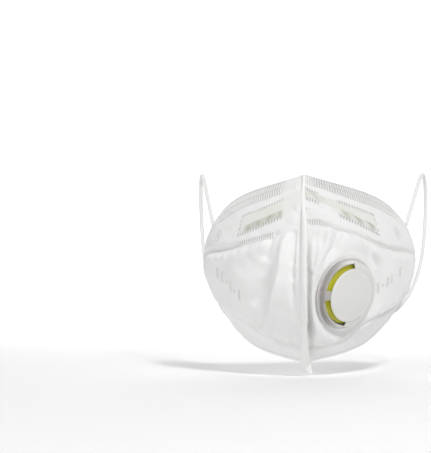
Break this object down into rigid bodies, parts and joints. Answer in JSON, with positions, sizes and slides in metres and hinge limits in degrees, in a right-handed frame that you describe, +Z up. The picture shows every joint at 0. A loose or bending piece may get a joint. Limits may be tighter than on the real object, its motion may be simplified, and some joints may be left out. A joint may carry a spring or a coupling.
{
  "type": "disposable dust mask",
  "caption": "Vertical-fold filtering half mask with a welded centre seam, nose wire, round exhalation valve and elastic ear loops.",
  "frame": {"origin": "centre of the face opening, in the plane of its cheek edges, as the mask is worn", "axes": "+Z up towards the nose bridge, -Y out of the face towards a viewer, +X to the wearer's left, where the valve is"},
  "size_m": [0.156, 0.1495, 0.1279],
  "materials": {
    "spunbond_outer": "matte",
    "cotton": "matte",
    "meltblown": "matte",
    "spunbond_inner": "matte",
    "seam_weld": "matte",
    "nose_wire": "satin",
    "foam": "matte",
    "valve_plastic": "satin",
    "flap_rubber": "satin",
    "cover_plastic": "satin",
    "elastic": "matte"
  },
  "bodies": {
    "right_half": {"outer_panel_right": "spunbond_outer", "cotton_layer_right": "cotton", "filter_layer_right": "meltblown", "inner_lining_right": "spunbond_inner", "centre_seam": "seam_weld", "nose_wire": "nose_wire", "nose_foam": "foam", "valve_base": "valve_plastic", "valve_clamp_ring": "valve_plastic", "valve_cover": "cover_plastic", "loop_tab_upper_right": "elastic", "loop_tab_lower_right": "elastic"},
    "left_half": {"outer_panel_left": "spunbond_outer", "cotton_layer_left": "cotton", "filter_layer_left": "meltblown", "inner_lining_left": "spunbond_inner", "loop_tab_upper_left": "elastic", "loop_tab_lower_left": "elastic"},
    "flap": {"valve_flap": "flap_rubber"},
    "loop_right": {"ear_loop_right": "elastic"},
    "loop_left": {"ear_loop_left": "elastic"}
  },
  "joints": [
    {"name": "fold", "type": "hinge", "parent": "right_half", "child": "left_half", "pos_m": [-0.001, -0.0555, 0], "axis": [0, 0, -1], "range_deg": [0, 18], "deforming": ["nose_wire", "nose_foam"]},
    {"name": "flap_hinge", "type": "hinge", "parent": "right_half", "child": "flap", "pos_m": [0.02904, -0.07122, 0.00145], "axis": [-0.7193, -0.6947, 0], "range_deg": [0, 3.4], "stiffness_Nm_per_rad": 0.002, "springref_deg": -1.15},
    {"name": "loop_right_swing", "type": "hinge", "parent": "right_half", "child": "loop_right", "pos_m": [0.06285, 0.00461, 0.0285], "axis": [-0.1817, -0.0302, -0.9829], "range_deg": [-30, 90]},
    {"name": "loop_left_swing", "type": "hinge", "parent": "left_half", "child": "loop_left", "pos_m": [-0.06285, 0.00461, 0.0285], "axis": [-0.1817, 0.0302, 0.9829], "range_deg": [-30, 90]}
  ]
}
